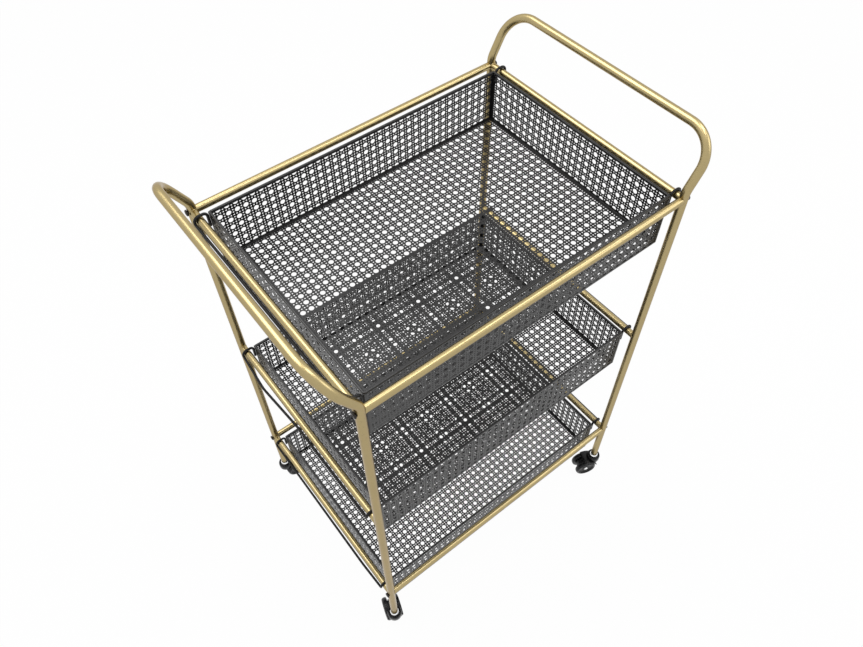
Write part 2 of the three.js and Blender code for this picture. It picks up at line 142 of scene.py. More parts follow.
# Castors
LATHE_SIDES = 48
WHEELS = {"a": 1, "b": -1}
WHEEL_RADIUS = 21 * MM
WHEEL_WIDTH = 9.5 * MM
WHEEL_INNER_FACE = 6 * MM
WHEEL_BORE = 2.5 * MM
WHEEL_ROUND = 0.9 * MM
WHEEL_SIDES = 64
FLANGE_DEPTH = 1.5 * MM
FLANGE_INSET = 0.2 * MM
FLANGE_ROUND = 0.3 * MM
COLLAR_RADIUS = 8 * MM
COLLAR_RIM = 1.6 * MM
COLLAR_EDGE = 0.3 * MM
COLLAR_DROP = 1.8 * MM
POST_RADIUS = 4 * MM
PIN_RADIUS = POST_RADIUS - MM
PIN_RISE = 6 * MM
HOOD_RADIUS = 13 * MM
HOOD_TOP = 52 * MM
HOOD_SKIRT = 38 * MM
HOOD_BORE = POST_RADIUS + BOLTED_GAP
HOOD_BOWL = HOOD_TOP - 2.4 * MM
HOOD_ROUND = 0.8 * MM
FENDER_INNER = 22.2 * MM
FENDER_OUTER = 24.2 * MM
FENDER_HALF_WIDTH = 15 * MM
FENDER_REAR = math.radians(76)
FENDER_FRONT = math.radians(158)
FENDER_RINGS = 24
WEB_HALF_WIDTH = WHEEL_INNER_FACE - MM
WEB_EDGE = 0.6 * MM
WEB_EDGE_CUT = 0.5 * MM
WEB_TOP = (9 * MM, HOOD_TOP - 12 * MM)
WEB_TOP_RADIUS = 4.5 * MM
WEB_AXLE_RADIUS = 15 * MM
AXLE_RADIUS = 2.1 * MM
AXLE_BUTTON_RADIUS = 4 * MM
AXLE_BUTTON_FACE = 13.1 * MM
AXLE_BUTTON_HEIGHT = 1.6 * MM
AXLE_SIDES = 32

# Profiles: radius and distance along the axis, and for the button shares of its radius and height
WHEEL_PROFILE = (
    (WHEEL_BORE, 0), (WHEEL_RADIUS - 1.2 * MM, 0), (WHEEL_RADIUS, 1.6 * MM),
    (WHEEL_RADIUS, WHEEL_WIDTH - 3.2 * MM), (WHEEL_RADIUS - 1.6 * MM, WHEEL_WIDTH - 0.8 * MM),
    (WHEEL_RADIUS - 3 * MM, WHEEL_WIDTH), (WHEEL_RADIUS - 5 * MM, WHEEL_WIDTH),
    (WHEEL_RADIUS - 7 * MM, WHEEL_WIDTH - 3 * MM), (8 * MM, WHEEL_WIDTH - 3.6 * MM),
    (6.5 * MM, WHEEL_WIDTH - 2.7 * MM), (WHEEL_BORE, WHEEL_WIDTH - 2.7 * MM),
)
HOOD_PROFILE = (
    (HOOD_BORE, HOOD_SKIRT), (HOOD_RADIUS, HOOD_SKIRT), (HOOD_RADIUS, HOOD_TOP - 5 * MM),
    (HOOD_RADIUS - 1.2 * MM, HOOD_TOP - MM), (HOOD_RADIUS - 2.2 * MM, HOOD_TOP - MM),
    (HOOD_RADIUS - 2.8 * MM, HOOD_BOWL), (COLLAR_RADIUS + 0.6 * MM, HOOD_BOWL),
    (COLLAR_RADIUS, HOOD_TOP), (HOOD_BORE, HOOD_TOP),
)
FENDER_SECTION = (
    (FENDER_INNER, -FENDER_HALF_WIDTH), (FENDER_OUTER, -FENDER_HALF_WIDTH),
    (FENDER_OUTER, FENDER_HALF_WIDTH), (FENDER_INNER, FENDER_HALF_WIDTH),
)
AXLE_BUTTON_SHARES = ((0.55, 1), (0.9, 0.75), (1, 0.3), (1, 0))

# The photograph's view
PHOTO_WIDTH = 863
FOCAL_PIXELS = 744.02
SENSOR_WIDTH = 36
CAMERA_AIM = Vector((37.96, 68.7, 408.03)) * MM
CAMERA_DISTANCE = 1296.83 * MM
CAMERA_AZIMUTH = math.radians(-37.1349)
CAMERA_ELEVATION = math.radians(52.9874)
CAMERA_ROLL = math.radians(-1.0597)

# Studio: lamps by place, aim, width, depth and power
FLOOR_HALF = 8.0
FLOOR_GLOW_SHARE = 0.975
AMBIENT = 0.42
LAMPS = {
    "overhead_light": ((-0.45, 0.95, 2.85), (0, 0, 0.5), 1.7, 1.7, 38),
    "right_light": ((0.95, -0.45, 2.8), (0.95, -0.45, 0), 1.9, 0.6, 17),
    "fill_light": ((1.6, -1.4, 1.9), (0, 0, 0.4), 1.2, 1.2, 9),
}

TIERS = ("top", "middle", "bottom")
BOLTED_TIERS = ("top", "bottom")
ENDS = {"left": -1, "right": 1}
FACES = {"front": -1, "back": 1}
CORNERS = tuple(f"{face}_{end}" for face in FACES for end in ENDS)

UP = np.array((0.0, 0.0, 1.0))
ALONG_X = np.array((1.0, 0.0, 0.0))
ALONG_Y = np.array((0.0, 1.0, 0.0))


def centre(node):
    """Middle of a node's box."""
    low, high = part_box(node)
    return (np.array(low) + np.array(high)) / 2


LEG_X = centre("castor_stem_front_right")[0]
LEG_Y = centre("castor_stem_back_right")[1]
LEG_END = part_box("end_frame_left")[0].z
RAIL_HEIGHT = {tier: centre(f"end_rail_left_{tier}")[2] for tier in TIERS}
JOINTS = {joint["name"]: joint for joint in frame["record"]["behaviour"]["joints"]}


def unit(vectors):
    """Vectors scaled to length one."""
    return vectors / np.linalg.norm(vectors, axis=-1, keepdims=True)


class Field:
    """A shader value: Python arithmetic on it adds the Math nodes."""

    def __init__(self, nodes, socket):
        self.nodes = nodes
        self.socket = socket

    def math(self, operation, first, second):
        return self.nodes.node("ShaderNodeMath", {"operation": operation}, {0: first, 1: second})

    def __add__(self, other):
        return self.math("ADD", self, other)

    def __mul__(self, other):
        return self.math("MULTIPLY", self, other)

    def at_most(self, other):
        return self.math("MINIMUM", self, other)

    __radd__ = __add__
    __rmul__ = __mul__


class Nodes:
    """A node tree, with one method that adds a node, sets it and feeds its sockets."""

    def __init__(self, tree):
        self.tree = tree

    def node(self, kind, settings=None, values=None, output=0):
        made = self.tree.nodes.new(kind)
        for name, value in (settings or {}).items():
            if name == "stops":
                self.set_stops(made.color_ramp.elements, value)
            else:
                setattr(made, name, value)
        for socket, value in (values or {}).items():
            self.feed(made.inputs[socket], value)
        return Field(self, made.outputs[output])

    def set_stops(self, elements, stops):
        while len(elements) < len(stops):
            elements.new(1.0)
        for element, (position, level) in zip(elements, stops):
            element.position = position
            element.color = (level, level, level, 1)

    def feed(self, socket, value):
        if isinstance(value, Field):
            self.tree.links.new(value.socket, socket)
        else:
            socket.default_value = value

    def noise(self, place, scale, detail=2.0, roughness=0.5):
        values = {"Vector": place, "Scale": scale, "Detail": detail, "Roughness": roughness}
        return self.node("ShaderNodeTexNoise", {}, values)

    def blend(self, share, first, second):
        values = {"Factor": share, 6: first, 7: second}
        return self.node("ShaderNodeMix", {"data_type": "RGBA"}, values, output=2)

    def ramp(self, value, stops):
        return self.node("ShaderNodeValToRGB", {"stops": stops}, {"Fac": value})

    def bump(self, height, distance):
        values = {"Height": height, "Distance": distance, "Strength": 1.0}
        return self.node("ShaderNodeBump", {}, values)


class Finish(Nodes):
    """A procedural material: a Principled shader, its constants and what varies over the surface."""

    def __init__(self, name, constants):
        self.material = bpy.data.materials.new(name)
        self.material.use_nodes = True
        super().__init__(self.material.node_tree)
        self.shader = self.tree.nodes["Principled BSDF"]
        for socket, value in constants.items():
            self.shader.inputs[socket].default_value = value

    def paint(self, values):
        for socket, value in values.items():
            self.feed(self.shader.inputs[socket], value)

    def place(self, kind="Object", scale=(1, 1, 1)):
        found = self.node("ShaderNodeTexCoord", output=kind)
        return self.node("ShaderNodeMapping", {}, {"Vector": found, "Scale": scale})


def brass_finish():
    """Satin antique brass: polishing lines along the tube, slow tarnish clouds, small dull flecks."""
    finish = Finish("satin_brass", {
        # The edge tint darkens reflections at grazing angles: painted shade along the tubes' sides.
        "Metallic": 1.0, "Specular Tint": (0.5, 0.38, 0.2, 1),
        "Coat Weight": 0.8, "Coat Roughness": 0.16,
    })
    lines = finish.noise(finish.place("UV", (2600, 90, 1)), 1.0, detail=3)
    clouds = finish.noise(finish.place(), 16, detail=4)
    flecks = finish.ramp(finish.noise(finish.place(), 420, detail=2), [(0.62, 0), (0.74, 1)])
    bright = finish.blend(clouds, (0.435, 0.342, 0.153, 1), (0.365, 0.286, 0.128, 1))
    finish.paint({
        "Base Color": finish.blend(flecks * 0.35, bright, (0.255, 0.19, 0.087, 1)),
        "Roughness": 0.2 + lines * 0.12 + clouds * 0.08 + flecks * 0.1,
        "Normal": finish.bump(lines, 0.012 * MM),
    })
    return finish.material


def sheet_finish():
    """Black powder coat on the sheet: fine orange peel, faint dusty patches."""
    finish = Finish("black_powder_coat", {"Specular IOR Level": 0.4})
    peel = finish.noise(finish.place(), 1400, detail=2)
    dust = finish.noise(finish.place(), 22, detail=4)
    finish.paint({
        "Base Color": finish.blend(dust, (0.007, 0.007, 0.007, 1), (0.014, 0.013, 0.013, 1)),
        "Roughness": 0.24 + dust * 0.14,
        "Normal": finish.bump(peel, 0.05 * MM),
    })
    return finish.material


def wire_finish():
    """Black coat on the drawn wire: a little glossier, with rubbed streaks along its length."""
    finish = Finish("black_coated_wire", {"Specular IOR Level": 0.2})
    streaks = finish.noise(finish.place("UV", (900, 60, 1)), 1.0, detail=3)
    peel = finish.noise(finish.place(), 1100, detail=2)
    finish.paint({
        "Base Color": finish.blend(streaks, (0.007, 0.007, 0.007, 1), (0.015, 0.014, 0.014, 1)),
        "Roughness": 0.36 + streaks * 0.2,
        "Normal": finish.bump(peel, 0.03 * MM),
    })
    return finish.material


def bolt_finish():
    """Blackened steel: dark metal with worn, slightly brown edges."""
    finish = Finish("blackened_steel", {"Metallic": 0.9})
    wear = finish.noise(finish.place(), 700, detail=3)
    finish.paint({
        "Base Color": finish.blend(wear, (0.02, 0.019, 0.018, 1), (0.055, 0.049, 0.042, 1)),
        "Roughness": 0.3 + wear * 0.2,
    })
    return finish.material


def plastic_finish():
    """Moulded black nylon: fine spark texture and scuffed, greyer patches."""
    finish = Finish("moulded_black_nylon", {"Specular IOR Level": 0.28})
    spark = finish.noise(finish.place(), 2600, detail=2)
    scuff = finish.noise(finish.place(), 90, detail=5, roughness=0.65)
    worn = finish.ramp(scuff, [(0.5, 0), (0.78, 1)])
    finish.paint({
        "Base Color": finish.blend(worn, (0.006, 0.006, 0.007, 1), (0.018, 0.018, 0.019, 1)),
        "Roughness": 0.24 + worn * 0.25,
        "Normal": finish.bump(spark, 0.04 * MM),
    })
    return finish.material


def steel_finish():
    """Bright zinc: fine turned rings and a soft mottle."""
    finish = Finish("bright_zinc", {"Metallic": 1.0})
    rings = finish.noise(finish.place("UV", (60, 2600, 1)), 1.0, detail=2)
    mottle = finish.noise(finish.place(), 260, detail=3)
    finish.paint({
        "Base Color": finish.blend(mottle, (0.86, 0.86, 0.85, 1), (0.95, 0.95, 0.95, 1)),
        "Roughness": 0.16 + rings * 0.14,
        "Normal": finish.bump(rings, 0.01 * MM),
    })
    return finish.material


FINISHES = {
    "brass_tube": brass_finish(),
    "black_sheet": sheet_finish(),
    "black_wire": wire_finish(),
    "black_bolt": bolt_finish(),
    "castor_plastic": plastic_finish(),
    "bright_steel": steel_finish(),
}


class Shell:
    """The surfaces of one piece: points, faces, and a UV place in metres for every face corner."""

    def __init__(self):
        self.points = []
        self.faces = []
        self.places = []
        self.count = 0

    def add(self, points, faces_and_places):
        for faces, places in faces_and_places:
            self.faces.append(np.asarray(faces) + self.count)
            self.places.append(np.asarray(places, float).reshape(-1, 2))
        self.points.append(points)
        self.count += len(points)

    def rings(self, surface, closed=False):
        """A stack of rings, rows along and columns counter-clockwise around the way they run.

        Quads join each ring to the next. A stack that isn't closed on itself gets a fan of
        triangles at each end, round the ring's mean point. UV is the way around and the way along.
        """
        rows, columns = surface.shape[:2]
        around = np.linalg.norm(np.roll(surface, -1, axis=1) - surface, axis=2).mean(axis=0)
        along = np.linalg.norm(np.diff(surface, axis=0), axis=2).mean(axis=1)
        across_at = np.concatenate([[0], np.cumsum(around)])
        along_at = np.concatenate([[0], np.cumsum(along), [along.sum() + along.mean()]])
        spans = np.arange(rows if closed else rows - 1)
        row, column = np.meshgrid(spans, np.arange(columns), indexing="ij")
        corners = [(row, column), (row, column + 1), (row + 1, column + 1), (row + 1, column)]
        quads = np.stack([(r % rows) * columns + c % columns for r, c in corners], axis=-1)
        places = np.stack([np.stack([across_at[c], along_at[r]], axis=-1) for r, c in corners], axis=2)
        parts = [(quads.reshape(-1, 4), places)]
        points = surface.reshape(-1, 3)
        if not closed:
            points = np.concatenate([points, surface[[0, -1]].mean(axis=1)])
            here = np.arange(columns)
            following = np.roll(here, -1)
            last = (rows - 1) * columns
            first_middle = np.full(columns, rows * columns)
            first_fan = np.stack([first_middle, following, here], axis=-1)
            last_fan = np.stack([first_middle + 1, here + last, following + last], axis=-1)
            flat = np.zeros((columns * 3, 2))
            parts += [(first_fan, flat), (last_fan, flat)]
        self.add(points, parts)

    def piece(self, name, body, slot, replaced=(), smooth=True):
        """Makes the mesh object, gives it its finish and sets it on its body."""
        mesh = bpy.data.meshes.new(name)
        points = np.concatenate(self.points)
        loops = np.concatenate([faces.ravel() for faces in self.faces])
        sizes = np.concatenate([np.full(len(faces), faces.shape[1]) for faces in self.faces])
        mesh.vertices.add(len(points))
        mesh.vertices.foreach_set("co", points.astype(np.float32).ravel())
        mesh.loops.add(len(loops))
        mesh.loops.foreach_set("vertex_index", loops.astype(np.int32))
        mesh.polygons.add(len(sizes))
        starts = np.cumsum(sizes) - sizes
        mesh.polygons.foreach_set("loop_start", starts.astype(np.int32))
        mesh.polygons.foreach_set("use_smooth", np.full(len(sizes), smooth))
        layer = mesh.uv_layers.new(name="surface")
        layer.data.foreach_set("uv", np.concatenate(self.places).astype(np.float32).ravel())
        mesh.update(calc_edges=True)
        mesh.validate()
        if smooth:
            mesh.set_sharp_from_angle(angle=SHARP_ANGLE)
        mesh.materials.append(FINISHES[slot])
        made = bpy.data.objects.new(name, mesh)
        bpy.context.scene.collection.objects.link(made)
        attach(made, body)
        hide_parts(*replaced)


def circle(sides):
    """Cosines and sines of evenly spaced angles round a circle."""
    angle = np.arange(sides) * TURN / sides
    return np.cos(angle), np.sin(angle)


def bent_path(corners, radii, step):
    """Straight runs between corners, with each inner corner replaced by an arc that touches both runs.

    The arc of radius r and turn q starts r tan(q / 2) before the corner. Where two arcs meet, only
    one of their two shared points is kept. Gives points and tangents.
    """
    corners = np.asarray(corners, float)
    headings = unit(np.diff(corners, axis=0))
    points = [corners[:1]]
    tangents = [headings[:1]]
    for corner, entry, leave, radius in zip(corners[1:-1], headings[:-1], headings[1:], radii):
        turn = math.acos(np.clip(entry @ leave, -1, 1))
        start = corner - entry * radius * math.tan(turn / 2)
        side = unit(leave - entry * (entry @ leave))
        angle = np.linspace(0, turn, max(3, round(turn / step) + 1))[:, None]
        points.append(start + radius * (np.sin(angle) * entry + (1 - np.cos(angle)) * side))
        tangents.append(np.cos(angle) * entry + np.sin(angle) * side)
    points = np.concatenate(points + [corners[-1:]])
    tangents = np.concatenate(tangents + [headings[-1:]])
    steps = np.linalg.norm(np.diff(points, axis=0), axis=1)
    kept = np.concatenate([[True], steps > LEAST_STEP])
    return points[kept], tangents[kept]


def tube_rings(points, tangents, radii, reference, sides):
    """Circles of the given radii square to a path, each turned so that it starts towards reference."""
    side = unit(reference - tangents * (tangents @ reference)[:, None])
    other = np.cross(tangents, side)
    cosine, sine = circle(sides)
    ring = cosine[:, None] * side[:, None] + sine[:, None] * other[:, None]
    return points[:, None] + np.reshape(radii, (-1, 1, 1)) * ring


def lathe_rings(profile, axis, reference, origin, sides=LATHE_SIDES):
    """A profile of radius and height turned about an axis through origin."""
    profile = np.asarray(profile, float)
    points = origin + profile[:, 1:] * axis
    return tube_rings(points, np.tile(axis, (len(profile), 1)), profile[:, 0], reference, sides)


def soften(profile, radius, steps=4):
    """A closed profile with every corner rounded by an arc of about the given radius.

    Each arc is a quadratic curve from one radius before the corner to one radius after it, or to
    under half of a shorter side.
    """
    profile = np.asarray(profile, float)
    before = np.roll(profile, 1, axis=0) - profile
    after = np.roll(profile, -1, axis=0) - profile
    reach_before = np.minimum(radius, ROUNDED_SHARE * np.linalg.norm(before, axis=1))[:, None]
    reach_after = np.minimum(radius, ROUNDED_SHARE * np.linalg.norm(after, axis=1))[:, None]
    start = profile + unit(before) * reach_before
    end = profile + unit(after) * reach_after
    t = np.linspace(0, 1, steps + 1)[None, :, None]
    arc = (1 - t) ** 2 * start[:, None] + 2 * t * (1 - t) * profile[:, None] + t ** 2 * end[:, None]
    return arc.reshape(-1, 2)


def make_end_frame(end, side):
    """One tube from foot to foot, with open feet: leg, outward lean, corner, handle bar and back down."""
    leg_x = side * LEG_X
    bar_x = side * (LEG_X + HANDLE_REACH)
    corners = [
        (leg_x, -LEG_Y, LEG_END), (leg_x, -LEG_Y, HANDLE_KINK_HEIGHT), (bar_x, -LEG_Y, HANDLE_HEIGHT),
        (bar_x, LEG_Y, HANDLE_HEIGHT), (leg_x, LEG_Y, HANDLE_KINK_HEIGHT), (leg_x, LEG_Y, LEG_END),
    ]
    bends = (HANDLE_KINK_RADIUS, HANDLE_CORNER_RADIUS, HANDLE_CORNER_RADIUS, HANDLE_KINK_RADIUS)
    points, tangents = bent_path(corners, bends, TUBE_BEND_STEP)
    bore = LEG_RADIUS - LEG_WALL
    foot_lifts = np.array((FOOT_BORE_DEPTH, FOOT_EDGE, 0, 0, FOOT_EDGE))[:, None]
    foot_radii = np.array((bore, bore, bore + FOOT_EDGE, LEG_RADIUS - FOOT_EDGE, LEG_RADIUS))
    first = points[0] + foot_lifts * UP
    last = points[-1] + foot_lifts[::-1] * UP
    steps = len(foot_lifts)
    points = np.concatenate([first, points[1:-1], last])
    tangents = np.concatenate([np.tile(UP, (steps, 1)), tangents[1:-1], np.tile(-UP, (steps, 1))])
    radii = np.concatenate([foot_radii, np.full(len(points) - 2 * steps, LEG_RADIUS), foot_radii[::-1]])
    shell = Shell()
    shell.rings(tube_rings(points, tangents, radii, ALONG_X, TUBE_SIDES))
    shell.piece(f"leg_tube_{end}", "frame", "brass_tube", [f"end_frame_{end}"])


def coped_ends(start, finish, gap):
    """The two end rings of a rail between upright legs, and the rail's direction.

    At angle q round a rail of radius r, the side lies r cos q off the leg's axis, so the rail stops
    sqrt(R^2 - (r cos q)^2) plus the gap short of the axis of a leg of radius R.
    """
    heading = unit(finish - start)
    level = np.cross(heading, UP)
    cosine, sine = circle(TUBE_SIDES)
    short = np.sqrt(LEG_RADIUS ** 2 - (RAIL_RADIUS * cosine) ** 2) + gap
    ring = RAIL_RADIUS * (cosine[:, None] * level + sine[:, None] * np.cross(heading, level))
    return start + short[:, None] * heading + ring, finish - short[:, None] * heading + ring, heading


def make_rail(name, node, start, finish, welded):
    """Rail coped to two legs. A welded one has a thin bead along each joint, a bolted one a fine gap."""
    gap = -WELD_SINK if welded else BOLTED_GAP
    first, last, heading = coped_ends(start, finish, gap)
    share = np.linspace(0, 1, RAIL_RINGS)[:, None, None]
    shell = Shell()
    shell.rings((1 - share) * first + share * last)
    if welded:
        for bead in coped_ends(start, finish, 0)[:2]:
            tangents = unit(np.roll(bead, -1, axis=0) - np.roll(bead, 1, axis=0))
            radii = np.full(len(bead), WELD_RADIUS)
            shell.rings(tube_rings(bead, tangents, radii, heading, WELD_SIDES), closed=True)
    shell.piece(name, "frame", "brass_tube", [node])


def make_bolt(face, end, tier):
    """Button head with a hexagon socket: a turned dome whose inner rings follow a hexagon.

    A hexagon of width w across its flats lies w / 2 / cos(q) from its centre, q from a flat's middle.
    """
    side = ENDS[end]
    low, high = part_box(f"bolt_{face}_{end}_{tier}")
    seat = (high.x if side > 0 else low.x) - side * BOLT_HEAD_HEIGHT
    origin = np.array((seat, FACES[face] * LEG_Y, RAIL_HEIGHT[tier]))
    axis = side * ALONG_X
    lean = np.linspace(0, 1, BOLT_DOME_RINGS)
    dome_radius = BOLT_HEAD_RADIUS * (1 - BOLT_DOME_NARROWING * lean ** BOLT_DOME_POWER)
    rise = BOLT_RIM_SHARE + (1 - BOLT_RIM_SHARE) * np.sin(lean * math.pi / 2)
    dome_height = BOLT_HEAD_HEIGHT * rise
    lip = dome_radius[-1] - BOLT_LIP
    profile = [(BOLT_SHANK_RADIUS, -BOLT_SHANK_LENGTH), (BOLT_SHANK_RADIUS, 0), (BOLT_SEAT_RADIUS, 0)]
    profile += list(zip(dome_radius, dome_height)) + [(lip, BOLT_HEAD_HEIGHT)]
    body = lathe_rings(profile, axis, UP, origin)
    angle = np.arange(LATHE_SIDES) * TURN / LATHE_SIDES
    off_flat = (angle + TURN / 12) % (TURN / 6) - TURN / 12
    hexagon = BOLT_SOCKET_ACROSS / 2 / np.cos(off_flat)
    outward = unit(body[-1] - (origin + axis * BOLT_HEAD_HEIGHT))
    depths = BOLT_HEAD_HEIGHT - np.array((BOLT_SOCKET_CHAMFER, BOLT_SOCKET_DEPTH, BOLT_SOCKET_DEPTH))
    spread = np.array((1.0, 1.0, BOLT_SOCKET_FLOOR_SHARE))
    socket = origin + depths[:, None, None] * axis + spread[:, None, None] * hexagon[:, None] * outward
    shell = Shell()
    shell.rings(np.concatenate([body, socket]))
    shell.piece(f"bolt_head_{face}_{end}_{tier}", "frame", "black_bolt", [f"bolt_{face}_{end}_{tier}"])


def cane_holes():
    """Middle, radius and sides of each hole in one square repeat of the cane pattern.

    The square is three by three thirds. A small hole sits in the middle of each third of its first
    row and first column, and one large hole in the middle of the four that are left.
    """
    third = CANE_PITCH / 3
    small = [(0.5, 0.5), (1.5, 0.5), (2.5, 0.5), (0.5, 1.5), (0.5, 2.5)]
    holes = [(np.array(at) * third, SMALL_HOLE_SHARE * CANE_PITCH / 2, SMALL_HOLE_SIDES) for at in small]
    holes.append((np.array((2.0, 2.0)) * third, LARGE_HOLE_SHARE * CANE_PITCH / 2, LARGE_HOLE_SIDES))
    return holes


def counter_clockwise(points, triangles):
    """Flat triangles, all turned to run counter-clockwise."""
    first, second, third = (points[triangles[:, k]] for k in range(3))
    edge_a, edge_b = second - first, third - first
    turned = edge_a[:, 0] * edge_b[:, 1] - edge_a[:, 1] * edge_b[:, 0] < 0
    triangles[turned] = triangles[turned][:, ::-1]
    return triangles


def cane_cell(across, up):
    """One repeat of the cane pattern, cut to a window, as flat points and triangles.

    A triangle is kept where its middle lies in the window and beyond some side of every hole.
    """
    holes = cane_holes()
    (left, right), (bottom, top) = across, up
    outlines = [np.array([(left, bottom), (right, bottom), (right, top), (left, top)])]
    outlines += [middle + radius * np.stack(circle(sides), axis=-1) for middle, radius, sides in holes]
    starts = np.cumsum([0] + [len(outline) for outline in outlines])
    edges = np.concatenate([
        np.stack([np.arange(len(line)), np.roll(np.arange(len(line)), -1)], axis=-1) + start
        for line, start in zip(outlines, starts)
    ])
    flat = [Vector(point) for point in np.concatenate(outlines)]
    found = delaunay_2d_cdt(flat, edges.tolist(), [], 0, CUT_TOLERANCE)
    points = np.array([tuple(point) for point in found[0]])
    triangles = np.array(found[2])
    middles = points[triangles].mean(axis=1)
    kept = ((middles > (left, bottom)) & (middles < (right, top))).all(axis=1)
    for middle, radius, sides in holes:
        half = math.pi / sides
        facing = np.stack(circle(2 * sides), axis=-1)[1::2]
        kept &= ((middles - middle) @ facing.T).max(axis=1) > radius * math.cos(half)
    return points, counter_clockwise(points, triangles[kept])


def cell_windows(length, phase):
    """The repeats along one side of a panel: the stretch of each that lies inside, and where it starts."""
    first = math.floor((-length / 2 - phase) / CANE_PITCH)
    last = math.ceil((length / 2 - phase) / CANE_PITCH)
    starts = np.arange(first, last) * CANE_PITCH + phase
    low = np.maximum(-length / 2 - starts, 0)
    high = np.minimum(length / 2 - starts, CANE_PITCH)
    groups = {}
    for start, stretch in zip(starts, zip(low.round(WINDOW_DIGITS), high.round(WINDOW_DIGITS))):
        groups.setdefault(stretch, []).append(start)
    return groups


def cane_sheet(length, width, phase):
    """The pattern over a panel, cut at its edges, with the points that repeats share merged."""
    points, triangles, count = [], [], 0
    for across, columns in cell_windows(length, phase[0]).items():
        for up, rows in cell_windows(width, phase[1]).items():
            cell_points, cell_triangles = cane_cell(across, up)
            corners = np.stack(np.meshgrid(columns, rows), axis=-1).reshape(-1, 1, 2)
            offsets = np.arange(len(corners))[:, None, None] * len(cell_points) + count
            points.append((corners + cell_points).reshape(-1, 2))
            triangles.append((cell_triangles + offsets).reshape(-1, 3))
            count += len(points[-1])
    points = np.concatenate(points)
    keys = np.round(points / LEAST_STEP).astype(np.int64)
    _, kept, merged = np.unique(keys, axis=0, return_index=True, return_inverse=True)
    return points[kept], merged.ravel()[np.concatenate(triangles)]


def plate(flat_points, triangles, origin, along, across):
    """A closed plate from a flat triangulation, its face towards along x across.

    The triangles are laid down twice, back to back, and a wall joins the two along every edge that
    only one triangle has, which are the rims of the holes and the outline.
    """
    normal = np.cross(along, across)
    face = origin + flat_points[:, :1] * along + flat_points[:, 1:] * across
    back = face - SHEET * normal
    count = len(face)
    edges = np.concatenate([triangles[:, [0, 1]], triangles[:, [1, 2]], triangles[:, [2, 0]]])
    keys = edges.min(axis=1) * count + edges.max(axis=1)
    _, first_seen, uses = np.unique(keys, return_index=True, return_counts=True)
    rim = edges[first_seen[uses == 1]]
    walls = np.stack([rim[:, 1], rim[:, 0], rim[:, 0] + count, rim[:, 1] + count], axis=-1)
    faces = [triangles, triangles[:, ::-1] + count, walls]
    places = [flat_points[triangles], flat_points[triangles[:, ::-1]], np.zeros((walls.size, 2))]
    shell = Shell()
    shell.add(np.concatenate([face, back]), list(zip(faces, places)))
    return shell


def outline_rings(profile, half, base, steps=6):
    """A profile of inward offset and height carried round a rectangle with rounded corners.

    The rectangle has half lengths along X and Y and lies about a base point. At an inward offset a,
    the rectangle is smaller by a on every side and its corners' radius shrinks by a, down to a least
    radius.
    """
    inward, height = np.asarray(profile, float).T
    radius = np.maximum(TRAY_CORNER_RADIUS - inward, LEAST_CORNER)
    quarter = np.linspace(0, math.pi / 2, steps)
    angle = np.concatenate([quarter + start for start in np.arange(4) * math.pi / 2])[:, None]
    sign_x = np.repeat((1, -1, -1, 1), steps)[:, None]
    sign_y = np.repeat((1, 1, -1, -1), steps)[:, None]
    x = sign_x * (half[0] - inward - radius) + radius * np.cos(angle)
    y = sign_y * (half[1] - inward - radius) + radius * np.sin(angle)
    z = np.broadcast_to(height, x.shape)
    return base + np.stack([x, y, z], axis=-1)


def fold_profile(width, steps=6):
    """Outer and inner line of an L-shaped strip with a round fold, each from one edge to the other."""
    angle = np.linspace(-math.pi / 2, -math.pi, steps)
    lines = []
    for radius, offset in ((FOLD_RADIUS, 0), (FOLD_RADIUS - STRIP, STRIP)):
        arc = FOLD_RADIUS + radius * np.stack([np.cos(angle), np.sin(angle)], axis=-1)
        lines.append(np.concatenate([[(width, offset)], arc, [(offset, width)]]))
    return lines


def tray_piece(shell, tier, name, smooth=True):
    """Sets a shell on a tray's body as one of the pieces that stand for the tray."""
    shell.piece(f"tray_{tier}_{name}", f"basket_{tier}", "black_sheet", [f"tray_{tier}"], smooth)


def make_sheets(tier, half, base):
    """Perforated floor and walls, set in the middle of the strips' thickness."""
    inset = (STRIP - SHEET) / 2
    length, width, rise = 2 * (half - SHEET_EDGE)
    floor = cane_sheet(length, width, FLOOR_PHASE)
    long_wall = cane_sheet(length, rise, LONG_WALL_PHASE)
    end_wall = cane_sheet(width, rise, END_WALL_PHASE)
    wall_x, wall_y = half[:2] - inset
    sheets = {
        "floor": (floor, (0, 0, inset + SHEET), ALONG_X, ALONG_Y),
        "front": (long_wall, (0, -wall_y, half[2]), ALONG_X, UP),
        "back": (long_wall, (0, wall_y, half[2]), -ALONG_X, UP),
        "left": (end_wall, (-wall_x, 0, half[2]), -ALONG_Y, UP),
        "right": (end_wall, (wall_x, 0, half[2]), ALONG_Y, UP),
    }
    for name, (pattern, origin, along, across) in sheets.items():
        tray_piece(plate(*pattern, base + origin, along, across), tier, f"{name}_sheet", smooth=False)


def make_rim(tier, half, base):
    """Hemmed rim round the tray's top."""
    height = 2 * half[2]
    low = height - RIM_HEIGHT
    section = [(0, low), (RIM_WIDTH, low), (RIM_WIDTH, height), (0, height)]
    shell = Shell()
    shell.rings(outline_rings(soften(section, RIM_ROUND), half, base), closed=True)
    tray_piece(shell, tier, "rim")


def make_folds(tier, half, base):
    """Folded strip round the floor's edges, and one up each corner."""
    shell = Shell()
    outer, inner = fold_profile(STRIP_WIDTH)
    shell.rings(outline_rings(np.concatenate([outer[::-1], inner]), half, base), closed=True)
    outer, inner = fold_profile(CORNER_STRIP_WIDTH)
    reach = np.array((SHEET_EDGE, 2 * half[2] - SHEET_EDGE))
    for sign_x in (-1, 1):
        for sign_y in (-1, 1):
            loop = np.concatenate([outer, inner[::-1]])
            if sign_x * sign_y > 0:
                loop = loop[::-1]
            x = sign_x * (half[0] - loop[:, 0])
            y = sign_y * (half[1] - loop[:, 1])
            rows = np.stack([np.stack([x, y, np.full_like(x, z)], axis=-1) for z in reach])
            shell.rings(base + rows)
    tray_piece(shell, tier, "folds")


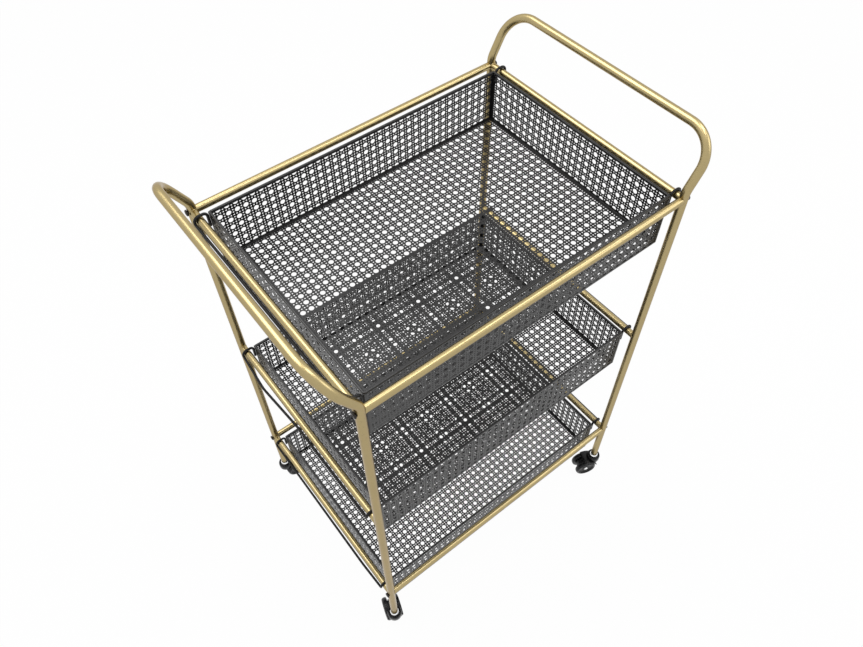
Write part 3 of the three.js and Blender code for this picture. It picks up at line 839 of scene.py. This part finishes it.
def make_tray(tier):
    """A tray in its node's box: perforated sheets, rim and folded strips."""
    low, high = (np.array(corner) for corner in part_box(f"tray_{tier}"))
    half = (high - low) / 2
    base = (low + high) / 2 - half * UP
    make_sheets(tier, half, base)
    make_rim(tier, half, base)
    make_folds(tier, half, base)


def make_hanger(end, side, tier):
    """One wire: up the end wall, over the rail, along its outside and back over the rail to the wall."""
    rail = RAIL_HEIGHT[tier]
    slide = centre(f"tray_{tier}") * ALONG_Y
    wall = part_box(f"tray_{tier}")[1].x
    inner_x = side * (wall + WIRE_WALL_GAP + WIRE_RADIUS)
    outer_x = side * (LEG_X + WIRE_OVER_RAIL)
    top, run, tail = rail + WIRE_OVER_RAIL, rail - WIRE_RUN_DROP, rail - WIRE_TAIL_DROP
    hook = -WIRE_HOOK_Y
    half_route = [(inner_x, hook, tail), (inner_x, hook, top), (outer_x, hook, top), (outer_x, hook, run)]
    bows = [(side * (LEG_X + out), y, run) for y, out in WIRE_BOWS.get((end, tier), [])]
    route = half_route + bows + [(x, -y, z) for x, y, z in half_route[::-1]]
    half_bends = [WIRE_INNER_BEND, WIRE_OUTER_BEND, WIRE_RUN_BEND]
    bends = half_bends + [WIRE_BOW_BEND] * len(bows) + half_bends[::-1]
    points, tangents = bent_path(np.array(route) + slide, bends, WIRE_BEND_STEP)
    radii = np.full(len(points), WIRE_RADIUS)
    first_tip = points[:1] - tangents[:1] * WIRE_TIP
    last_tip = points[-1:] + tangents[-1:] * WIRE_TIP
    tip_radius = WIRE_TIP_SHARE * WIRE_RADIUS
    points = np.concatenate([first_tip, points, last_tip])
    tangents = np.concatenate([tangents[:1], tangents, tangents[-1:]])
    radii = np.concatenate([[tip_radius], radii, [tip_radius]])
    reference = unit(np.array((side, 1.0, 0.0)))
    shell = Shell()
    shell.rings(tube_rings(points, tangents, radii, reference, WIRE_SIDES))
    shell.piece(f"hanger_wire_{end}_{tier}", f"basket_{tier}", "black_wire", [f"hanger_{end}_{tier}"])


class Castor:
    """Where a castor stands: foot of its swivel axis, middle of its axle, the ways behind and across."""

    def __init__(self, corner):
        self.corner = corner
        self.stem = np.array(JOINTS[f"swivel_{corner}"]["pos_m"]) * (1, 1, 0)
        self.axle = np.array(JOINTS[f"spin_{corner}_a"]["pos_m"])
        self.trail = unit((self.axle - self.stem) * (1, 1, 0))
        self.across = np.cross(UP, self.trail)
        self.trail_length = float((self.axle - self.stem) @ self.trail)


def make_flange(castor):
    """Flange of the socket, just under the end of the leg."""
    low, high = LEG_END - FLANGE_DEPTH, LEG_END - BOLTED_GAP
    radius = LEG_RADIUS - FLANGE_INSET
    section = [(POST_RADIUS, low), (radius, low), (radius, high), (POST_RADIUS, high)]
    shell = Shell()
    shell.rings(lathe_rings(soften(section, FLANGE_ROUND), UP, castor.trail, castor.stem), closed=True)
    node = f"castor_socket_{castor.corner}"
    shell.piece(f"castor_flange_{castor.corner}", "frame", "castor_plastic", [node])


def make_collar(castor):
    """Bright stem: swivel post inside the hood, conical collar, and the pin up into the leg."""
    low, high = HOOD_TOP + BOLTED_GAP, LEG_END - COLLAR_DROP
    profile = [
        (POST_RADIUS, HOOD_SKIRT), (POST_RADIUS, low), (COLLAR_RADIUS - COLLAR_EDGE, low),
        (COLLAR_RADIUS, low + COLLAR_EDGE), (COLLAR_RADIUS, low + COLLAR_RIM),
        (LEG_RADIUS + COLLAR_EDGE, high - COLLAR_EDGE), (LEG_RADIUS, high), (PIN_RADIUS, high),
        (PIN_RADIUS, LEG_END + PIN_RISE),
    ]
    shell = Shell()
    shell.rings(lathe_rings(profile, UP, castor.trail, castor.stem))
    node = f"castor_stem_{castor.corner}"
    shell.piece(f"castor_collar_{castor.corner}", "frame", "bright_steel", [node])


def hood_cap(castor):
    """The hood's turned cap, lifted to the wheel well wherever it would reach below it.

    The well is a cylinder of radius R about the axle, so at d behind the axle its top is
    sqrt(R^2 - d^2) above it.
    """
    rings = lathe_rings(soften(HOOD_PROFILE, HOOD_ROUND), UP, castor.trail, castor.stem)
    behind = (rings - castor.stem) @ castor.trail - castor.trail_length
    behind = np.clip(behind, -FENDER_INNER, FENDER_INNER)
    rings[..., 2] = np.maximum(rings[..., 2], WHEEL_RADIUS + np.sqrt(FENDER_INNER ** 2 - behind ** 2))
    return rings


def hood_fender(castor):
    """The hood's fender, a flat section carried round the axle over both wheels."""
    hub = castor.stem + castor.trail * castor.trail_length + UP * WHEEL_RADIUS
    angle = np.linspace(FENDER_REAR, FENDER_FRONT, FENDER_RINGS)
    outward = np.cos(angle)[:, None] * castor.trail + np.sin(angle)[:, None] * UP
    section = soften(FENDER_SECTION, HOOD_ROUND)
    return hub + section[:, :1] * outward[:, None] + section[:, 1:] * castor.across


def hood_web(castor):
    """The web between the wheels: the hull of two circles, its edges taken off.

    Each point of the hull belongs to the circle that reaches farther along the point's spoke.
    """
    spokes = np.stack(circle(LATHE_SIDES), axis=-1)
    middles = np.array([WEB_TOP, (castor.trail_length, WHEEL_RADIUS)])
    radii = np.array((WEB_TOP_RADIUS, WEB_AXLE_RADIUS))
    farther = np.argmax(spokes @ middles.T + radii, axis=1)
    flat = WEB_HALF_WIDTH - WEB_EDGE
    levels = np.array((-WEB_HALF_WIDTH, -flat, flat, WEB_HALF_WIDTH))[:, None, None]
    cut = np.array((1, 0, 0, 1))[:, None] * WEB_EDGE_CUT
    web = middles[farther] + spokes * (radii[farther] - cut)[..., None]
    return castor.stem + web[..., :1] * castor.trail + web[..., 1:] * UP - levels * castor.across


def make_hood(castor):
    """Cap, fender and web in one moulding."""
    shell = Shell()
    shell.rings(hood_cap(castor), closed=True)
    shell.rings(hood_fender(castor))
    shell.rings(hood_web(castor))
    name = f"castor_hood_shell_{castor.corner}"
    shell.piece(name, f"castor_{castor.corner}", "castor_plastic", [f"castor_hood_{castor.corner}"])


def make_axle(castor):
    """Axle with a domed button at each end."""
    half = [
        (AXLE_BUTTON_RADIUS * wide, AXLE_BUTTON_FACE + AXLE_BUTTON_HEIGHT * high)
        for wide, high in AXLE_BUTTON_SHARES
    ]
    half.append((AXLE_RADIUS, AXLE_BUTTON_FACE))
    profile = [(radius, -at) for radius, at in half] + half[::-1]
    shell = Shell()
    shell.rings(lathe_rings(profile, castor.across, UP, castor.axle, AXLE_SIDES))
    name = f"castor_axle_pin_{castor.corner}"
    shell.piece(name, f"castor_{castor.corner}", "bright_steel", [f"castor_axle_{castor.corner}"])


def make_wheel(castor, letter, side):
    """One wheel, dished on its outer face, turned about the axle."""
    axis = side * castor.across
    origin = castor.axle + side * WHEEL_INNER_FACE * castor.across
    shell = Shell()
    rings = lathe_rings(soften(WHEEL_PROFILE, WHEEL_ROUND), axis, UP, origin, WHEEL_SIDES)
    shell.rings(rings, closed=True)
    node = f"wheel_{castor.corner}_{letter}"
    shell.piece(f"castor_{node}", node, "castor_plastic", [node])


def make_castor(corner):
    """Socket flange, bright stem, hood, axle and two wheels."""
    castor = Castor(corner)
    make_flange(castor)
    make_collar(castor)
    make_hood(castor)
    make_axle(castor)
    for letter, side in WHEELS.items():
        make_wheel(castor, letter, side)


for end_name, end_side in ENDS.items():
    make_end_frame(end_name, end_side)
    for tier_name in TIERS:
        ends = [np.array((end_side * LEG_X, y, RAIL_HEIGHT[tier_name])) for y in (-LEG_Y, LEG_Y)]
        make_rail(f"short_rail_{end_name}_{tier_name}", f"end_rail_{end_name}_{tier_name}", *ends, True)
        make_hanger(end_name, end_side, tier_name)

for tier_name in BOLTED_TIERS:
    for face_name, face_side in FACES.items():
        ends = [np.array((x, face_side * LEG_Y, RAIL_HEIGHT[tier_name])) for x in (-LEG_X, LEG_X)]
        make_rail(f"side_rail_{face_name}_{tier_name}", f"long_rail_{face_name}_{tier_name}", *ends, False)
        for end_name in ENDS:
            make_bolt(face_name, end_name, tier_name)

for tier_name in TIERS:
    make_tray(tier_name)

for corner_name in CORNERS:
    make_castor(corner_name)


def seen_by(nodes):
    """One for rays from the camera, off gloss and through glass, and nothing for the rest."""
    path = nodes.node("ShaderNodeLightPath").socket.node
    names = ("Is Camera Ray", "Is Glossy Ray", "Is Transmission Ray")
    rays = [Field(nodes, path.outputs[name]) for name in names]
    return (rays[0] + rays[1] + rays[2]).at_most(1)


def make_floor():
    """Pale floor: white to the eye, with a share of its real shading so that the shadow stays."""
    corners = np.array([(-1, -1), (1, -1), (1, 1), (-1, 1)]) * FLOOR_HALF
    mesh = bpy.data.meshes.new("studio_floor")
    mesh.from_pydata([(x, y, 0) for x, y in corners], [], [(0, 1, 2, 3)])
    floor = bpy.data.objects.new("studio_floor", mesh)
    bpy.context.scene.collection.objects.link(floor)
    finish = Finish("pale_floor", {"Base Color": (0.86, 0.86, 0.86, 1), "Roughness": 0.9})
    glow = finish.node("ShaderNodeEmission", {}, {"Color": (1, 1, 1, 1), "Strength": 1.0})
    shaded = Field(finish, finish.shader.outputs[0])
    share = seen_by(finish) * FLOOR_GLOW_SHARE
    mixed = finish.node("ShaderNodeMixShader", {}, {0: share, 1: shaded, 2: glow})
    finish.feed(finish.tree.nodes["Material Output"].inputs["Surface"], mixed)
    mesh.materials.append(finish.material)


def make_world():
    """Soft even light from all round, with a white background to the eye and in reflections."""
    world = bpy.data.worlds.new("studio")
    world.use_nodes = True
    nodes = Nodes(world.node_tree)
    background = world.node_tree.nodes["Background"]
    background.inputs["Color"].default_value = (1, 1, 1, 1)
    nodes.feed(background.inputs["Strength"], AMBIENT + seen_by(nodes) * (1 - AMBIENT))
    bpy.context.scene.world = world


def make_lamp(name, place, aim, width, depth, power):
    """A rectangular soft light that looks at a point."""
    lamp = bpy.data.lights.new(name, "AREA")
    lamp.shape = "RECTANGLE"
    lamp.size = width
    lamp.size_y = depth
    lamp.energy = power
    made = bpy.data.objects.new(name, lamp)
    made.location = place
    made.rotation_mode = "QUATERNION"
    made.rotation_quaternion = (Vector(place) - Vector(aim)).to_track_quat("Z", "Y")
    bpy.context.scene.collection.objects.link(made)


def make_camera():
    """The photograph's camera: looks back along azimuth and elevation at its aim, turned by its roll."""
    cosine, sine = math.cos(CAMERA_ELEVATION), math.sin(CAMERA_ELEVATION)
    back = Vector((math.sin(CAMERA_AZIMUTH) * cosine, -math.cos(CAMERA_AZIMUTH) * cosine, sine))
    right = Vector((math.cos(CAMERA_AZIMUTH), math.sin(CAMERA_AZIMUTH), 0))
    above = back.cross(right)
    turned_right = math.cos(CAMERA_ROLL) * right + math.sin(CAMERA_ROLL) * above
    turned_up = back.cross(turned_right)
    data = bpy.data.cameras.new("photo_camera")
    data.sensor_fit = "HORIZONTAL"
    data.sensor_width = SENSOR_WIDTH
    data.lens = FOCAL_PIXELS * SENSOR_WIDTH / PHOTO_WIDTH
    camera = bpy.data.objects.new("photo_camera", data)
    camera.rotation_mode = "QUATERNION"
    camera.location = CAMERA_AIM + back * CAMERA_DISTANCE
    camera.rotation_quaternion = Matrix((turned_right, turned_up, back)).transposed().to_quaternion()
    bpy.context.scene.collection.objects.link(camera)
    bpy.context.scene.camera = camera


make_floor()
make_world()
for lamp_name, lamp_settings in LAMPS.items():
    make_lamp(lamp_name, *lamp_settings)
make_camera()
bpy.context.scene.view_settings.view_transform = "Standard"
